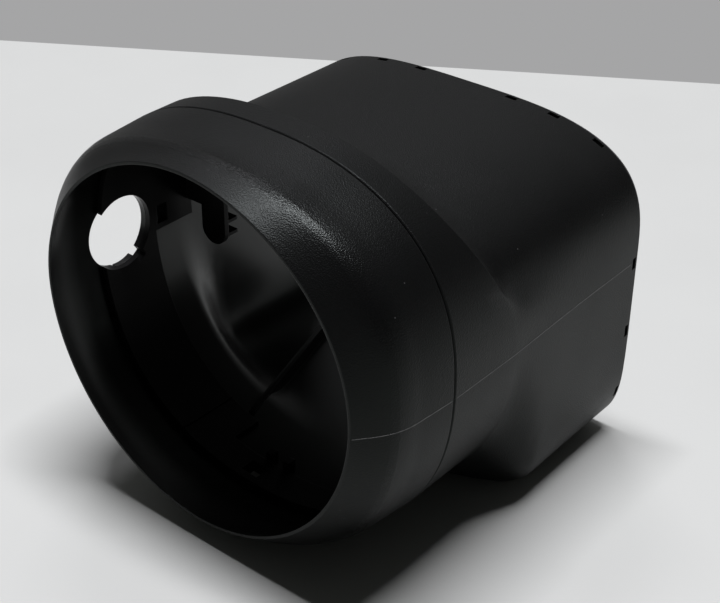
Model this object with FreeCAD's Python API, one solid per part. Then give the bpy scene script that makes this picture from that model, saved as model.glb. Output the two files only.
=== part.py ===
import FreeCAD, Part
import math
import os

# Steering column trim cover: a moulded front ring, the rear housing behind it, and the
# split sleeve inside that joins the two. Sizes in millimetres.
# +Y runs back along the column, +Z is up, and the origin lies on the column axis in the
# plane of the front opening.

# Outline of the ring and neck where they meet at the joint. Fullness says how square the
# corners are: 0.71 is an ellipse and 1 a rectangle.
ring_half_width = 86.0
ring_top = 72.0
ring_bottom = -86.0
ring_top_fullness = 0.750
ring_bottom_fullness = 0.730

# Front opening
opening_half_width = 72.5
opening_top = 68.6
opening_bottom = -74.9
opening_fullness = 0.701
lip_width = 1.2

# Front ring, measured back from the opening
shoulder_depth = 12.9
shoulder_scale = 0.978
shoulder_round_front = 0.55
shoulder_round_back = 0.30
shoulder_rows = 6
inner_shoulder_rows = 3
joint_depth = 40.0
joint_gap = 0.4
joint_chamfer = 0.5

# Walls and fits
wall = 2.8
sleeve_wall = 2.2
sleeve_clearance = 0.2

# Crease where the round neck ends, and the step behind it down to the box of the housing.
# The step runs back this many millimetres for each one that it drops, and fades out towards
# the side walls below the stated height.
crease_depth_top = 52.0
crease_sweep = 24.0
crease_fall = 75.0
step_run = 1.2
step_foot = 27.0
step_lead = 0.55

# Rear end of the housing
rear_depth = 163.0
rear_half_width = 84.1
rear_top = 48.4
rear_bottom = -86.0
rear_middle = -3.0
rear_top_fullness = 0.811
rear_bottom_fullness = 0.908
lower_corner_run = 0.30
neck_rows = 3
corner_rows = 8
corner_row_spread = 1.5
box_rows = 6
rebate_depth = 1.6
rebate_step = 0.8

# Slots along the rear rim
slot_length = 5.0
slot_width = 2.2
slot_from_edge = 3.6
slot_top_places = (-63.0, -42.5, -22.5, 22.5, 42.5, 63.0)
slot_side_places = (-4.0, -35.0, -65.0)
notch_place = -53.6
notch_depth = 1.4

# Stalk hole in the left side, centred just behind the joint
stalk_hole_radius = 15.5
stalk_hole_depth = 43.0
stalk_hole_height = 0.0
key_width = 4.0
key_reach = 2.6
key_angle = -58.0

# Sleeve
sleeve_front = 33.0
sleeve_rear = 61.5
crown_foot = 30.0
crown_rear = 49.0
scoop_half_width = 27.0
scoop_depth = 47.5
slit_place = -41.0
slit_width = 0.6
tongue_rear = 82.0
tongue_foot = -7.0
tongue_top = 24.0
web_thickness = 2.4
web_edge = -59.7
web_foot = 0.5
tab_width = 12.8
tab_drop = 15.5
tab_overlap = 1.0
tab_rib_length = 5.5
tab_rib_inset = 0.5
tab_rib_thickness = 1.5
tab_rib_heights = (-4.5, -10.5)
window_front = 62.5
window_length = 5.5
window_foot = -4.5
window_height = 8.0

# Latch window through the bottom at the joint, and the lugs behind it
latch_place = -9.0
latch_width = 8.0
latch_length = 7.0
lug_places = (-8.5, 0.5)
lug_width = 3.0
lug_length = 4.0
lug_height = 6.0
lug_gap = 0.3

# Stiffening ribs on the floor of the housing
rib_thickness = 2.4
rib_front_place = 33.0
rib_front_depth = 64.0
rib_rear_place = 60.0
rib_rear_depth = 152.0
rib_top = -76.5

# Each outline is cut in equal sectors, with one centred on each side
sectors = 8
sector_steps = 6
past = 2.0
far = 300.0


def mix(start, end, share):
    return start + (end - start) * share


def ease(share):
    """Starts and ends gently."""
    share = min(max(share, 0.0), 1.0)
    return share * share * (3.0 - 2.0 * share)


def settle(share):
    """Starts at once and ends gently."""
    share = min(max(share, 0.0), 1.0)
    return share * (2.0 - share)


def rounded_outline(half_width, top, bottom, middle, top_fullness, bottom_fullness):
    """Closed outline around the axis, through the stated share of its box at the corners."""
    points = []
    for step in range(sectors * sector_steps):
        angle = 2.0 * math.pi * (step / sector_steps + 0.5) / sectors
        across = abs(math.cos(angle)) / half_width
        if math.sin(angle) > 0.0:
            reach = top - middle
            fullness = top_fullness
        else:
            reach = middle - bottom
            fullness = bottom_fullness
        power = math.log(0.5) / math.log(fullness)
        upright = abs(math.sin(angle)) / reach
        radius = (across ** power + upright ** power) ** (-1.0 / power)
        points.append((radius * math.cos(angle), middle + radius * math.sin(angle)))
    return points


def shifted_outline(points, distance):
    """Moves an outline along its own normals, outward for a positive distance."""
    moved = []
    for index, (x, z) in enumerate(points):
        before = points[index - 1]
        after = points[(index + 1) % len(points)]
        along_x = after[0] - before[0]
        along_z = after[1] - before[1]
        length = math.hypot(along_x, along_z)
        moved.append((x + distance * along_z / length, z - distance * along_x / length))
    return moved


opening_outline = rounded_outline(opening_half_width, opening_top, opening_bottom, 0.0,
                                  opening_fullness, opening_fullness)
joint_outline = rounded_outline(ring_half_width, ring_top, ring_bottom, 0.0,
                                ring_top_fullness, ring_bottom_fullness)
shoulder_outline = [(x * shoulder_scale, z * shoulder_scale) for x, z in joint_outline]
lip_outline = shifted_outline(opening_outline, lip_width)
rear_outline = rounded_outline(rear_half_width, rear_top, rear_bottom, rear_middle,
                               rear_top_fullness, rear_bottom_fullness)


def row_at(outline, depth):
    """Points of an outline set at one depth, or at a depth of its own for each point."""
    depths = depth if isinstance(depth, list) else [depth] * len(outline)
    return [FreeCAD.Vector(x, y, z) for (x, z), y in zip(outline, depths)]


def closed_wire(row):
    curve = Part.BSplineCurve()
    steps = [index / len(row) for index in range(len(row) + 1)]
    curve.interpolate(Points=row, PeriodicFlag=True, Parameters=steps)
    return Part.Wire([curve.toShape(sector / sectors, (sector + 1) / sectors)
                      for sector in range(sectors)])


def solid_through(rows):
    """Solid through rows of points, straight from each row to the next, with flat ends."""
    return Part.makeLoft([closed_wire(row) for row in rows], True, True)


def block(x_range, y_range, z_range):
    size = [high - low for low, high in (x_range, y_range, z_range)]
    return Part.makeBox(*size, FreeCAD.Vector(x_range[0], y_range[0], z_range[0]))


def ring_profile(rows):
    """Rows of the ring's outer profile: the cone, the rounded shoulder and the side wall.
    Each one is the share from lip to shoulder and the share on from there to the joint."""
    profile = [(0.0, 0.0)]
    for step in range(rows + 1):
        turned = step / rows
        profile.append((1.0 - shoulder_round_front * (1.0 - turned) ** 2,
                        shoulder_round_back * turned ** 2))
    return profile + [(1.0, 1.0)]


def ring_depth(front_share, back_share):
    return front_share * shoulder_depth + back_share * (joint_depth - shoulder_depth)


def ring_outline(front_share, back_share):
    """Lip at (0, 0), sharp shoulder at (1, 0), joint at (1, 1)."""
    outline = []
    for lip, shoulder, joint in zip(lip_outline, shoulder_outline, joint_outline):
        point = []
        for axis in (0, 1):
            cone = mix(lip[axis], shoulder[axis], front_share)
            point.append(cone + (joint[axis] - shoulder[axis]) * back_share)
        outline.append(tuple(point))
    return outline


def side_outline(depth):
    """Outer outline of the ring's side wall, and of the neck behind the joint."""
    share = min((depth - shoulder_depth) / (joint_depth - shoulder_depth), 1.0)
    return ring_outline(1.0, share)


def stalk_hole():
    """Round hole with a key notch, cut in through the left wall."""
    reach = ring_half_width + past
    centre = FreeCAD.Vector(-reach, stalk_hole_depth, stalk_hole_height)
    inward = FreeCAD.Vector(1, 0, 0)
    length = ring_half_width / 2.0
    hole = Part.makeCylinder(stalk_hole_radius, length, centre, inward)
    key = block((-reach, length - reach),
                (stalk_hole_depth, stalk_hole_depth + stalk_hole_radius + key_reach),
                (stalk_hole_height - key_width / 2.0, stalk_hole_height + key_width / 2.0))
    key.rotate(centre, inward, key_angle)
    return hole.fuse(key)


def latch_window():
    return block((latch_place - latch_width / 2.0, latch_place + latch_width / 2.0),
                 (joint_depth - latch_length / 2.0, joint_depth + latch_length / 2.0),
                 (ring_bottom - past, ring_bottom / 2.0))


def ring_outer_skin():
    rear = joint_depth - joint_gap / 2.0
    rows = []
    for front_share, back_share in ring_profile(shoulder_rows):
        depth = min(ring_depth(front_share, back_share), rear - joint_chamfer)
        rows.append(row_at(ring_outline(front_share, back_share), depth))
    rows.append(row_at(shifted_outline(joint_outline, -joint_chamfer), rear))
    return solid_through(rows)


def ring_inner_skin():
    rows = [row_at(opening_outline, -past)]
    for front_share, back_share in ring_profile(inner_shoulder_rows):
        depth = ring_depth(front_share, back_share)
        thickness = mix(lip_width, wall, ease(depth / shoulder_depth))
        outline = ring_outline(front_share, back_share)
        rows.append(row_at(shifted_outline(outline, -thickness), depth))
    rows.append(row_at(shifted_outline(joint_outline, -wall), joint_depth + past))
    return solid_through(rows)


def front_ring():
    shell = ring_outer_skin().cut(ring_inner_skin())
    return shell.cut(stalk_hole()).cut(latch_window())


def crease_depths():
    return [crease_depth_top + crease_sweep * ease((ring_top - z) / crease_fall)
            for x, z in joint_outline]


def lower_outline(share):
    """Outline whose lower half is the housing's, from the crease (share 0) to the rear (1)."""
    taper = settle(share)
    lower = ease(share / lower_corner_run)
    return rounded_outline(mix(ring_half_width, rear_half_width, taper),
                           mix(ring_top, rear_top, taper),
                           mix(ring_bottom, rear_bottom, taper),
                           mix(0.0, rear_middle, taper),
                           ring_top_fullness,
                           mix(ring_bottom_fullness, rear_bottom_fullness, lower))


def step_length(neck, rear, start):
    """How far behind the crease the upper outline reaches the form of the rear edge."""
    drop = math.hypot(neck[0] - rear[0], neck[1] - rear[1])
    return mix(rear_depth - start, step_run * drop, ease(neck[1] / step_foot))


def box_outline(share, crease):
    """Outline of the housing from the crease (share 0) to the rear edge (share 1). The lower
    corners grow out of the neck, and the upper half steps down to the form of the rear."""
    outline = []
    for neck, low, rear, start in zip(joint_outline, lower_outline(share), rear_outline, crease):
        if neck[1] > 0.0:
            fallen = settle(share * (rear_depth - start) / step_length(neck, rear, start))
            outline.append(tuple(mix(neck[axis], rear[axis], fallen) for axis in (0, 1)))
        else:
            outline.append(low)
    return outline


def housing_skin(inset, front, rear, chamfer=0.0):
    """Solid inside one skin of the housing, inset from the outer form. The crease of an
    inset skin lies further forward, which keeps the wall thick across the step."""
    neck = shifted_outline(joint_outline, -inset)
    crease = [depth - step_lead * inset for depth in crease_depths()]
    shares = [lower_corner_run * (step / corner_rows) ** corner_row_spread
              for step in range(corner_rows)]
    shares += [mix(lower_corner_run, 1.0, step / box_rows) for step in range(box_rows + 1)]
    rows = []
    if chamfer > 0.0:
        rows.append(row_at(shifted_outline(neck, -chamfer), front))
    for step in range(neck_rows):
        share = step / neck_rows
        rows.append(row_at(neck, [mix(front + chamfer, depth, share) for depth in crease]))
    for share in shares:
        outline = shifted_outline(box_outline(share, crease), -inset)
        rows.append(row_at(outline, [mix(depth, rear_depth, share) for depth in crease]))
    if rear > rear_depth:
        rows.append(row_at(shifted_outline(rear_outline, -inset), rear))
    return solid_through(rows)


def rim_slots():
    """Slots through the rim, each square to the wall that it pierces."""
    places = []
    count = len(rear_outline)
    for index in range(count):
        (x0, z0), (x1, z1) = rear_outline[index], rear_outline[(index + 1) % count]
        for place in slot_top_places:
            if z0 > 0 and min(x0, x1) <= place < max(x0, x1):
                share = (place - x0) / (x1 - x0)
                places.append((place, mix(z0, z1, share), x1 - x0, z1 - z0))
        for place in slot_side_places:
            if abs(x0) > rear_half_width / 2.0 and min(z0, z1) <= place < max(z0, z1):
                share = (place - z0) / (z1 - z0)
                places.append((mix(x0, x1, share), place, x1 - x0, z1 - z0))
    cutters = []
    low = rear_depth - slot_from_edge - slot_width / 2.0
    for x, z, along_x, along_z in places:
        cutter = block((-slot_length / 2.0, slot_length / 2.0), (low, low + slot_width),
                       (-wall - past, wall + past))
        turn = -math.degrees(math.atan2(along_z, along_x))
        cutter.rotate(FreeCAD.Vector(0, 0, 0), FreeCAD.Vector(0, 1, 0), turn)
        cutter.translate(FreeCAD.Vector(x, 0, z))
        cutters.append(cutter)
    return cutters


def rim_notch():
    """Open notch in the top of the rim, as long as a slot."""
    return block((notch_place - slot_length / 2.0, notch_place + slot_length / 2.0),
                 (rear_depth - notch_depth, far), (0.0, rear_top))


def rear_rebate():
    start = rear_depth - rebate_depth
    around = shifted_outline(rear_outline, past)
    step = shifted_outline(rear_outline, -rebate_step)
    band = solid_through([row_at(around, start), row_at(around, rear_depth + past)])
    core = solid_through([row_at(step, start - past), row_at(step, rear_depth + 2.0 * past)])
    return band.cut(core)


def floor_ribs():
    """Two ribs on the floor that splay towards the rear."""
    ribs = []
    run = rib_rear_depth - rib_front_depth
    for side in (-1, 1):
        spread = side * (rib_rear_place - rib_front_place)
        length = math.hypot(run, spread)
        rib = block((-rib_thickness / 2.0, rib_thickness / 2.0), (0.0, length),
                    (ring_bottom - past, rib_top))
        rib.rotate(FreeCAD.Vector(0, 0, 0), FreeCAD.Vector(0, 0, 1),
                   -math.degrees(math.atan2(spread, run)))
        rib.translate(FreeCAD.Vector(side * rib_front_place, rib_front_depth, 0))
        ribs.append(rib)
    return ribs


def locating_lugs():
    """Lugs that stand on the floor of the neck against the scooped edge of the sleeve."""
    start = scoop_depth + lug_gap
    floor = ring_bottom + wall
    return [block((place - lug_width / 2.0, place + lug_width / 2.0),
                  (start, start + lug_length), (floor - wall, floor + lug_height))
            for place in lug_places]


def rear_housing():
    front = joint_depth + joint_gap / 2.0
    outer = housing_skin(0.0, front, rear_depth, joint_chamfer)
    inner = housing_skin(wall, front - past, rear_depth + past)
    shell = outer.cut(inner)
    inside = [piece.common(outer) for piece in floor_ribs() + locating_lugs()]
    shell = shell.fuse(inside)
    shell = shell.cut(rear_rebate())
    return shell.cut(rim_slots() + [rim_notch(), stalk_hole(), latch_window()])


def sleeve_skin(inset, front, rear):
    """Solid inside one skin of the sleeve, inset from the outer form."""
    rows = []
    for depth in (front, joint_depth, rear):
        rows.append(row_at(shifted_outline(side_outline(depth), -inset), depth))
    return solid_through(rows)


def sleeve_room():
    """Space inside the housing that the sleeve may fill."""
    return housing_skin(wall + sleeve_clearance, joint_depth, rear_depth)


def sleeve_band():
    """The band itself, with its scoop, split and window, and the tongue behind it."""
    outer_inset = wall + sleeve_clearance
    outer = sleeve_skin(outer_inset, sleeve_front, tongue_rear)
    inner = sleeve_skin(outer_inset + sleeve_wall, sleeve_front - past, tongue_rear + past)
    behind = block((-far, far), (sleeve_rear, far), (-far, far))
    tongue = block((-far, web_edge), (sleeve_rear - past, far), (tongue_foot, tongue_top))
    crown = block((-far, far), (crown_rear, far), (crown_foot, far))
    scoop = block((-scoop_half_width, scoop_half_width), (scoop_depth, far), (-far, 0.0))
    split = block((slit_place - slit_width, slit_place), (0.0, far), (-far, 0.0))
    window = block((-far, -ring_half_width / 2.0),
                   (window_front, window_front + window_length),
                   (window_foot, window_foot + window_height))
    band = outer.cut(inner)
    tongue = band.common(tongue).common(sleeve_room())
    return band.cut([behind, crown, scoop, split]).fuse(tongue).cut(window)


def sleeve_web():
    """Web across the end of the tongue, with a rounded tab that hangs from its edge."""
    rear = tongue_rear
    front = rear - web_thickness
    plate = block((-far, web_edge), (front, rear), (web_foot, tongue_top))
    plate = plate.common(sleeve_room())
    radius = tab_width / 2.0
    middle = web_edge - radius
    tip = radius - tab_drop
    tab = block((web_edge - tab_width, web_edge), (front, rear), (tip, web_foot + tab_overlap))
    tab = tab.fuse(Part.makeCylinder(radius, web_thickness, FreeCAD.Vector(middle, front, tip),
                                     FreeCAD.Vector(0, 1, 0)))
    ribs = []
    for height in tab_rib_heights:
        ribs.append(block((middle, web_edge - tab_rib_inset), (front, rear + tab_rib_length),
                          (height - tab_rib_thickness / 2.0, height + tab_rib_thickness / 2.0)))
    return plate.fuse([tab] + ribs)


def inner_sleeve():
    return sleeve_band().fuse(sleeve_web()).cut(stalk_hole()).cut(latch_window())


nodes = {
    "front_ring": front_ring,
    "rear_housing": rear_housing,
    "inner_sleeve": inner_sleeve,
}

os.makedirs("parts", exist_ok=True)
for name, make in nodes.items():
    shape = make()
    print(name, "solids", len(shape.Solids), "valid", shape.isValid(),
          "volume", round(shape.Volume / 1000.0, 2), "cm3")
    shape.exportStep(os.path.join("parts", name + ".step"))
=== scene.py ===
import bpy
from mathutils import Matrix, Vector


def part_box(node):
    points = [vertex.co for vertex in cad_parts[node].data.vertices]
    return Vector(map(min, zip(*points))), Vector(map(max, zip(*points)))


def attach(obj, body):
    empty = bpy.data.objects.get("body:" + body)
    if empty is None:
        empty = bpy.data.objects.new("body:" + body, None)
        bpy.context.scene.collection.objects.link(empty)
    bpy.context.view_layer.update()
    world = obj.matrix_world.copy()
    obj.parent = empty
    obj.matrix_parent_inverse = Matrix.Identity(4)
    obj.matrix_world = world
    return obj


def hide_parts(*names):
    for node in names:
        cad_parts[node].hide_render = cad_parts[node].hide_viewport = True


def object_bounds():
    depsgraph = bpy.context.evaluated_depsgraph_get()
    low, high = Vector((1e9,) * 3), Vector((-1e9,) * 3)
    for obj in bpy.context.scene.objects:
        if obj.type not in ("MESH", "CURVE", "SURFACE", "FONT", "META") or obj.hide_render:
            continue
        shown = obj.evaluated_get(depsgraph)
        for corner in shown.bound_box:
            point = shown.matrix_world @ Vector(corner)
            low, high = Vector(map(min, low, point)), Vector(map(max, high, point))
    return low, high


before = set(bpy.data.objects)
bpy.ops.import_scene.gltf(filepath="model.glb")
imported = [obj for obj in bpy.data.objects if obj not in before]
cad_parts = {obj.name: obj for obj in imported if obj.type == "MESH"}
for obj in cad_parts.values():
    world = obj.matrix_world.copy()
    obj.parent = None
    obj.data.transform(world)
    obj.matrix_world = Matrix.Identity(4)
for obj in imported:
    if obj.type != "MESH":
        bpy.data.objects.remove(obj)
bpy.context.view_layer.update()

import math
import bpy
import bmesh
from mathutils import Matrix, Vector
from mathutils.bvhtree import BVHTree

print("frame loaded:", ", ".join(sorted(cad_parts)))


class Wire:                                        # an output socket that can be used in sums
    def __init__(self, board, socket):
        self.board = board
        self.socket = socket

    def calc(self, operation, *values):
        return self.board.add("Math", {"operation": operation}, dict(enumerate(values)))[0]

    def __add__(self, other):
        return self.calc("ADD", self, other)

    def __sub__(self, other):
        return self.calc("SUBTRACT", self, other)

    def __rsub__(self, other):
        return self.calc("SUBTRACT", other, self)

    def __mul__(self, other):
        return self.calc("MULTIPLY", self, other)

    def __gt__(self, other):
        return self.calc("GREATER_THAN", self, other)

    __radd__ = __add__
    __rmul__ = __mul__

    def slope(self, low, high):                    # rises straight from 0 at low to 1 at high
        values = {"Value": self, "From Min": low, "From Max": high}
        return self.board.add("MapRange", None, values)["Result"]

    def ramp(self, low, high, bottom=0.0, top=1.0):    # eases from bottom at low to top at high
        settings = {"interpolation_type": "SMOOTHSTEP"}
        values = {"Value": self, "From Min": low, "From Max": high, "To Min": bottom, "To Max": top}
        return self.board.add("MapRange", settings, values)["Result"]


class Pins:                                        # a node's outputs by name or by number
    def __init__(self, board, node):
        self.board = board
        self.node = node

    def __getitem__(self, name):
        return Wire(self.board, self.node.outputs[name])


class Board:                                       # the node tree of a material or of the world
    def __init__(self, name, family=bpy.data.materials):
        self.owner = family.new(name)
        self.owner.use_nodes = True
        self.tree = self.owner.node_tree
        self.tree.nodes.clear()

    def add(self, kind, settings=None, values=None):
        node = self.tree.nodes.new("ShaderNode" + kind)
        for name, value in (settings or {}).items():
            setattr(node, name, value)
        for name, value in (values or {}).items():
            if isinstance(value, Wire):
                self.tree.links.new(value.socket, node.inputs[name])
            else:
                node.inputs[name].default_value = value
        return Pins(self, node)

    def blend(self, factor, first, second):        # mixes two colours
        values = {0: factor, 6: first, 7: second}
        return self.add("Mix", {"data_type": "RGBA"}, values)[2]

    def noise(self, place, scale, detail=3.0, roughness=0.5):
        values = {"Vector": place, "Scale": scale, "Detail": detail, "Roughness": roughness}
        return self.add("TexNoise", None, values)[0]

    def finish(self, values):
        surface = self.add("BsdfPrincipled", None, values)[0]
        self.add("OutputMaterial", None, {"Surface": surface})
        return self.owner


def grey(level, tint=(1.0, 1.0, 1.0)):
    return (level * tint[0], level * tint[1], level * tint[2], 1.0)


# camera, set where the photograph was taken from
cameraSet = {
    "azimuth": 39.399,
    "elevation": 31.633,
    "roll": 0.465,
    "distance": 0.573427,
    "target": (0.019686, 0.070, -0.005),
    "lens": 76.66,
    "sensor": 36.0,
}


def placeCamera():
    azimuth = math.radians(cameraSet["azimuth"])
    elevation = math.radians(cameraSet["elevation"])
    roll = math.radians(cameraSet["roll"])
    forward = Vector((-math.sin(azimuth) * math.cos(elevation),
                      math.cos(azimuth) * math.cos(elevation),
                      -math.sin(elevation)))
    level = forward.cross(Vector((0, 0, 1))).normalized()
    upright = level.cross(forward)
    right = level * math.cos(roll) + upright * math.sin(roll)
    up = upright * math.cos(roll) - level * math.sin(roll)
    data = bpy.data.cameras.new("photoCamera")
    data.lens = cameraSet["lens"]
    data.sensor_width = cameraSet["sensor"]
    data.sensor_fit = "HORIZONTAL"
    data.clip_start = 0.01
    data.clip_end = 20.0
    camera = bpy.data.objects.new("photoCamera", data)
    turn = Matrix((right, up, -forward)).transposed().to_4x4()
    place = Vector(cameraSet["target"]) - forward * cameraSet["distance"]
    camera.matrix_world = Matrix.Translation(place) @ turn
    bpy.context.scene.collection.objects.link(camera)
    bpy.context.scene.camera = camera


placeCamera()
print("camera placed")


# grained moulding of the ring and the housing
grainedSet = {
    "colour": grey(0.0042, (0.96, 1.0, 0.98)),
    "worn": grey(0.030, (0.98, 1.0, 0.97)),
    "mottle": grey(0.0055),
    "pebbleTop": grey(0.0075),
    "mottleScale": 34.0,
    "patchScale": 160.0,
    "fineScale": 2400.0,
    "roughness": 0.39,
    "gloss": 0.14,
    "glossTint": grey(1.0, (0.90, 1.0, 0.94)),
    "grainSize": 0.00048,
    "grainDepth": 0.00012,
    "shoulderRise": 0.0010,
    "shoulderFront": (0.0020, 0.0140),
    "shoulderBack": (0.0110, 0.0260),
    "shoulderShine": 0.20,
    "insideRoughness": 0.32,
    "insideCoat": {"front_ring": 0.0, "rear_housing": 0.45},
    "coatRoughness": 0.22,
    "coatHeights": (-0.080, -0.045),
    # inside colours: painted shade inside the ring, painted light inside the housing
    "insideColour": {"front_ring": grey(0.0012), "rear_housing": grey(0.0060)},
    "edgeRadius": 0.0005,
    "rimBand": 0.0016,
    "rimEase": 0.0004,
    # painted highlight colour for the band along the rebated rim
    "rimRubbed": grey(0.11),
    "speckSize": 0.0035,
    "speckLimit": 0.93,
    "dust": grey(0.20),
}


def outwardMask(board, place, normal):             # 1 on skins that face away from the axis
    flat = board.add("SeparateXYZ", None, {0: place})
    away = board.add("CombineXYZ", None, {0: flat[0], 1: 0.0, 2: flat[2]})[0]
    facing = board.add("VectorMath", {"operation": "DOT_PRODUCT"}, {0: away, 1: normal})["Value"]
    return facing.ramp(-0.005, 0.005)


def makeGrained(nodeName, rimStart=None):
    board = Board(nodeName + "Grain")
    place = board.add("TexCoord")["Object"]
    normal = board.add("NewGeometry")["Normal"]
    outside = outwardMask(board, place, normal)
    parted = board.add("SeparateXYZ", None, {0: place})
    along = parted[1]
    upper = parted[2].ramp(*grainedSet["coatHeights"])
    pebble = board.add("TexVoronoi", {"feature": "SMOOTH_F1"},
                       {"Vector": place, "Scale": 1.0 / grainedSet["grainSize"],
                        "Smoothness": 0.6, "Randomness": 1.0})["Distance"]
    fine = board.noise(place, grainedSet["fineScale"], 2.0)
    wide = board.noise(place, grainedSet["mottleScale"], 4.0)
    patch = board.noise(place, grainedSet["patchScale"], 3.0)
    rounded = board.add("Bevel", {"samples": 4}, {"Radius": grainedSet["edgeRadius"]})[0]
    across = board.add("VectorMath", {"operation": "DOT_PRODUCT"}, {0: rounded, 1: normal})["Value"]
    edge = (1.0 - across).ramp(0.004, 0.12) * patch.ramp(0.38, 0.62, 0.25, 1.0)
    colour = board.blend(wide.ramp(0.3, 0.7, 0.0, 0.35), grainedSet["colour"], grainedSet["mottle"])
    colour = board.blend(pebble.ramp(0.15, 0.6, 0.30, 0.0), colour, grainedSet["pebbleTop"])
    colour = board.blend(edge * 0.55, colour, grainedSet["worn"])
    if rimStart is not None:                       # painted highlight band where the rim is rebated
        band = along.ramp(rimStart, rimStart + grainedSet["rimEase"]) * outside
        colour = board.blend(band * patch.ramp(0.3, 0.7, 0.35, 0.75), colour, grainedSet["rimRubbed"])
    specks = board.add("TexVoronoi", {"feature": "F1"},
                       {"Vector": place, "Scale": 1.0 / grainedSet["speckSize"]})
    dusty = specks["Distance"].ramp(0.035, 0.075, 1.0, 0.0)
    chosen = board.add("SeparateColor", None, {0: specks["Color"]})[0] > grainedSet["speckLimit"]
    colour = board.blend(dusty * chosen * outside * 0.45, colour, grainedSet["dust"])
    # inside faces take the inside colour: painted shade in the ring, painted light in the housing
    colour = board.blend(outside, grainedSet["insideColour"][nodeName], colour)
    shaped = rounded
    roughness = outside * (grainedSet["roughness"] - grainedSet["insideRoughness"])
    roughness = roughness + grainedSet["insideRoughness"]
    roughness = roughness + (wide - 0.5) * 0.10 + (fine - 0.5) * 0.16 - edge * 0.06
    if nodeName == "front_ring":                   # the shoulder turns a little more sharply
        climb = along.slope(*grainedSet["shoulderFront"])
        fall = 1.0 - along.slope(*grainedSet["shoulderBack"])
        rise = climb * climb * fall * fall
        shaped = board.add("Bump", None, {"Distance": grainedSet["shoulderRise"],
                                          "Height": rise * outside, "Normal": rounded})[0]
        roughness = roughness - rise * outside * grainedSet["shoulderShine"]
    height = pebble * 0.7 + fine * 0.3
    bump = board.add("Bump", None, {
        "Strength": 1.0,
        "Distance": grainedSet["grainDepth"],
        "Height": height * outside.ramp(0.0, 1.0, 0.25, 1.0),
        "Normal": shaped,
    })[0]
    return board.finish({
        "Base Color": colour,
        "Roughness": roughness,
        "Normal": bump,
        "Specular IOR Level": grainedSet["gloss"],
        "Specular Tint": grainedSet["glossTint"],
        "Coat Weight": (1.0 - outside) * upper * grainedSet["insideCoat"][nodeName],
        "Coat Roughness": grainedSet["coatRoughness"],
    })


# plain satin moulding of the sleeve
sleeveSet = {
    "colour": grey(0.0030),
    "mottle": grey(0.005),
    "worn": grey(0.012),
    "mottleScale": 55.0,
    "fineScale": 900.0,
    "streakScale": 420.0,
    "streakStretch": (1.0, 0.06, 1.0),
    "roughness": 0.42,
    "gloss": 0.10,
    "edgeRadius": 0.0004,
}


def makeSleeve():
    board = Board("sleeveSatin")
    place = board.add("TexCoord")["Object"]
    normal = board.add("NewGeometry")["Normal"]
    wide = board.noise(place, sleeveSet["mottleScale"], 4.0)
    fine = board.noise(place, sleeveSet["fineScale"], 3.0)
    drawn = board.add("VectorMath", {"operation": "MULTIPLY"},
                      {0: place, 1: sleeveSet["streakStretch"]})[0]
    streak = board.noise(drawn, sleeveSet["streakScale"], 2.0)
    rounded = board.add("Bevel", {"samples": 4}, {"Radius": sleeveSet["edgeRadius"]})[0]
    across = board.add("VectorMath", {"operation": "DOT_PRODUCT"}, {0: rounded, 1: normal})["Value"]
    edge = (1.0 - across).ramp(0.01, 0.2)
    colour = board.blend(wide.ramp(0.3, 0.7, 0.0, 0.5), sleeveSet["colour"], sleeveSet["mottle"])
    colour = board.blend(edge * 0.4, colour, sleeveSet["worn"])
    roughness = sleeveSet["roughness"] + (wide - 0.5) * 0.16 + (streak - 0.5) * 0.14
    bump = board.add("Bump", None, {"Strength": 0.5, "Distance": 0.00004,
                                    "Height": fine * 0.6 + streak * 0.4, "Normal": rounded})[0]
    return board.finish({"Base Color": colour, "Roughness": roughness, "Normal": bump,
                         "Specular IOR Level": sleeveSet["gloss"]})


finishes = {
    "front_ring": makeGrained("front_ring"),
    "rear_housing": makeGrained("rear_housing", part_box("rear_housing")[1].y - grainedSet["rimBand"]),
    "inner_sleeve": makeSleeve(),
}
shadeSet = {"smoothAngle": 32.0, "weld": 0.000002}


def smoothByAngle(mesh, degrees):                  # soft shading, with hard edges kept hard
    shape = bmesh.new()
    shape.from_mesh(mesh)
    bmesh.ops.remove_doubles(shape, verts=shape.verts, dist=shadeSet["weld"])
    limit = math.radians(degrees)
    for face in shape.faces:
        face.smooth = True
    for edge in shape.edges:
        edge.smooth = len(edge.link_faces) == 2 and edge.calc_face_angle(0.0) < limit
    shape.to_mesh(mesh)
    shape.free()


def dressNode(name):                               # a smooth copy stands for the node
    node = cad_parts[name]
    mesh = node.data.copy()
    mesh.name = name + "Skin"
    smoothByAngle(mesh, shadeSet["smoothAngle"])
    mesh.materials.clear()
    mesh.materials.append(finishes[name])
    piece = bpy.data.objects.new(name + "Skin", mesh)
    bpy.context.scene.collection.objects.link(piece)
    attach(piece, "root")
    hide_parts(name)
    return piece


dressed = {name: dressNode(name) for name in finishes}
print("nodes dressed:", len(dressed))


# witness line of the mould, a fine light ridge along both sides of ring and housing
witnessSet = {
    "height": -0.0035,
    "width": 0.00036,
    "proud": 0.00007,
    "sunk": 0.00015,
    "spacing": 0.0012,
    "start": 0.0003,
    "colour": grey(0.16, (1.0, 1.0, 0.97)),
    "faint": grey(0.07),
}


def makeWitness():
    board = Board("witnessLine")
    place = board.add("TexCoord")["Object"]
    broken = board.noise(place, 260.0, 3.0)
    colour = board.blend(broken.ramp(0.3, 0.65), witnessSet["faint"], witnessSet["colour"])
    bump = board.add("Bump", None, {"Strength": 0.4, "Distance": 0.00003,
                                    "Height": board.noise(place, 1500.0)})[0]
    return board.finish({"Base Color": colour, "Roughness": broken.ramp(0.2, 0.8, 0.35, 0.6),
                         "Normal": bump})


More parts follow.
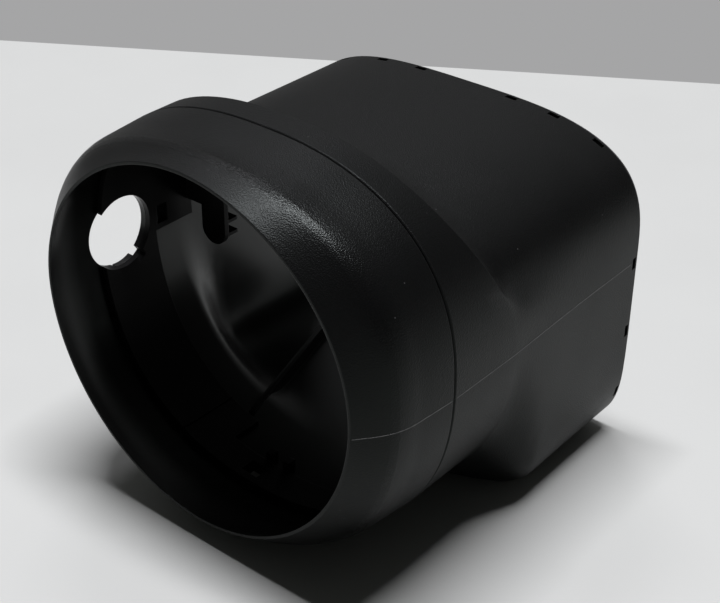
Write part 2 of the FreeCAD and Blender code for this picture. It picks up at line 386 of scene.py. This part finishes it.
def witnessStations(tree, side, low, high):        # stretches of points on the outer skin
    stretches = [[]]
    count = int((high - low) / witnessSet["spacing"])
    for step in range(count + 1):
        y = low + (high - low) * step / count
        start = Vector((side * 0.12, y, witnessSet["height"]))
        point, normal, index, distance = tree.ray_cast(start, Vector((-side, 0, 0)), 0.06)
        if point is None or abs(point.x) < 0.06:
            if stretches[-1]:
                stretches.append([])
        else:
            stretches[-1].append((point, normal))
    return [stretch for stretch in stretches if len(stretch) > 2]


def witnessRidge(name, nodeName, endGap):
    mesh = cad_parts[nodeName].data
    tree = BVHTree.FromPolygons([v.co for v in mesh.vertices],
                                [tuple(p.vertices) for p in mesh.polygons])
    low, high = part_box(nodeName)
    half = witnessSet["width"] / 2
    section = [(-half, -witnessSet["sunk"]), (-half * 0.5, witnessSet["proud"]),
               (half * 0.5, witnessSet["proud"]), (half, -witnessSet["sunk"])]
    shape = bmesh.new()
    for side in (-1, 1):
        for stretch in witnessStations(tree, side, low.y + witnessSet["start"], high.y - endGap):
            rows = []
            for point, normal in stretch:
                row = []
                for lift, out in section:
                    corner = point + normal * out + Vector((0, 0, lift))
                    corner.x = max(low.x, min(high.x, corner.x))
                    corner.y = max(low.y, corner.y)
                    row.append(shape.verts.new(corner))
                rows.append(row)
            for before, after in zip(rows, rows[1:]):
                for index in range(4):
                    other = (index + 1) % 4
                    shape.faces.new((before[index], before[other], after[other], after[index]))
            shape.faces.new(rows[0])
            shape.faces.new(rows[-1])
    bmesh.ops.recalc_face_normals(shape, faces=shape.faces)
    ridge = bpy.data.meshes.new(name)
    shape.to_mesh(ridge)
    shape.free()
    ridge.materials.append(witnessFinish)
    piece = bpy.data.objects.new(name, ridge)
    bpy.context.scene.collection.objects.link(piece)
    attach(piece, "root")


witnessFinish = makeWitness()
witnessRidge("ringWitnessLine", "front_ring", 0.0004)
witnessRidge("housingWitnessLine", "rear_housing", 0.0022)
print("witness lines laid")


# table top, room and overhead lamp
stageSet = {
    "reach": 9.0,
    "farEdge": ((-0.451, 0.270), (-0.058, 0.513)),
    "tableColour": grey(0.545, (0.99, 1.03, 0.965)),
    "tableMottle": grey(0.53, (0.99, 1.03, 0.965)),
    "wallColour": grey(0.38, (0.99, 0.99, 1.0)),
    "wallSide": (-0.60, 0.75, 0.25),
    "wallGlow": 0.20,
    "roomLight": 0.03,
}
lampSet = {
    "ceilingPanel": {"place": (-0.10, 0.28, 4.0), "size": (2.4, 0.30), "power": 215.0,
                     "colour": (1.0, 0.97, 1.04)},
    "rearPanel": {"place": (-2.0, 2.0, 3.4), "size": (1.2, 0.4), "power": 17.0,
                  "colour": (1.0, 0.97, 1.04)},
}


def makeTable():                                   # pale top that ends at a straight far edge
    board = Board("paleTable")
    place = board.add("TexCoord")["Object"]
    mottle = board.noise(place, 9.0, 4.0)
    colour = board.blend(mottle.ramp(0.3, 0.7), stageSet["tableColour"], stageSet["tableMottle"])
    bump = board.add("Bump", None, {"Strength": 0.15, "Distance": 0.0002,
                                    "Height": board.noise(place, 500.0)})[0]
    board.finish({"Base Color": colour, "Roughness": 0.55, "Normal": bump})
    first, second = (Vector(point) for point in stageSet["farEdge"])
    along = (second - first).normalized()
    nearer = Vector((along.y, -along.x))
    middle = (first + second) / 2
    reach = stageSet["reach"]
    corners = [middle - along * reach, middle - along * reach + nearer * reach,
               middle + along * reach + nearer * reach, middle + along * reach]
    mesh = bpy.data.meshes.new("paleTable")
    mesh.from_pydata([(corner.x, corner.y, 0) for corner in corners], [], [(0, 1, 2, 3)])
    mesh.materials.append(board.owner)
    table = bpy.data.objects.new("paleTable", mesh)
    table.location.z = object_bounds()[0][2]
    bpy.context.scene.collection.objects.link(table)


def makeRoom():                                    # a dim room with a lit wall behind to the left
    board = Board("room", bpy.data.worlds)
    side = Vector(stageSet["wallSide"]).normalized()
    facing = board.add("VectorMath", {"operation": "DOT_PRODUCT"},
                       {0: board.add("TexCoord")["Generated"], 1: side})["Value"]
    dim = board.add("Background", None, {"Color": grey(stageSet["roomLight"])})[0]
    lit = board.add("Background", None, {"Color": grey(stageSet["wallGlow"])})[0]
    light = board.add("MixShader", None, {0: facing.ramp(0.2, 0.9), 1: dim, 2: lit})[0]
    wall = board.add("Background", None, {"Color": stageSet["wallColour"]})[0]
    seen = board.add("LightPath")["Is Camera Ray"]
    surface = board.add("MixShader", None, {0: seen, 1: light, 2: wall})[0]
    board.add("OutputWorld", None, {"Surface": surface})
    bpy.context.scene.world = board.owner


def hangLamp(name, lamp):                          # a long soft panel under the ceiling
    data = bpy.data.lights.new(name, "AREA")
    data.shape = "RECTANGLE"
    data.size, data.size_y = lamp["size"]
    data.energy = lamp["power"]
    data.color = lamp["colour"]
    light = bpy.data.objects.new(name, data)
    light.location = lamp["place"]
    light.rotation_euler = Vector(lamp["place"]).to_track_quat("Z", "Y").to_euler()
    bpy.context.scene.collection.objects.link(light)


makeTable()
makeRoom()
for name, lamp in lampSet.items():
    hangLamp(name, lamp)
bpy.context.scene.view_settings.view_transform = "Standard"
print("table, room and lamps set")
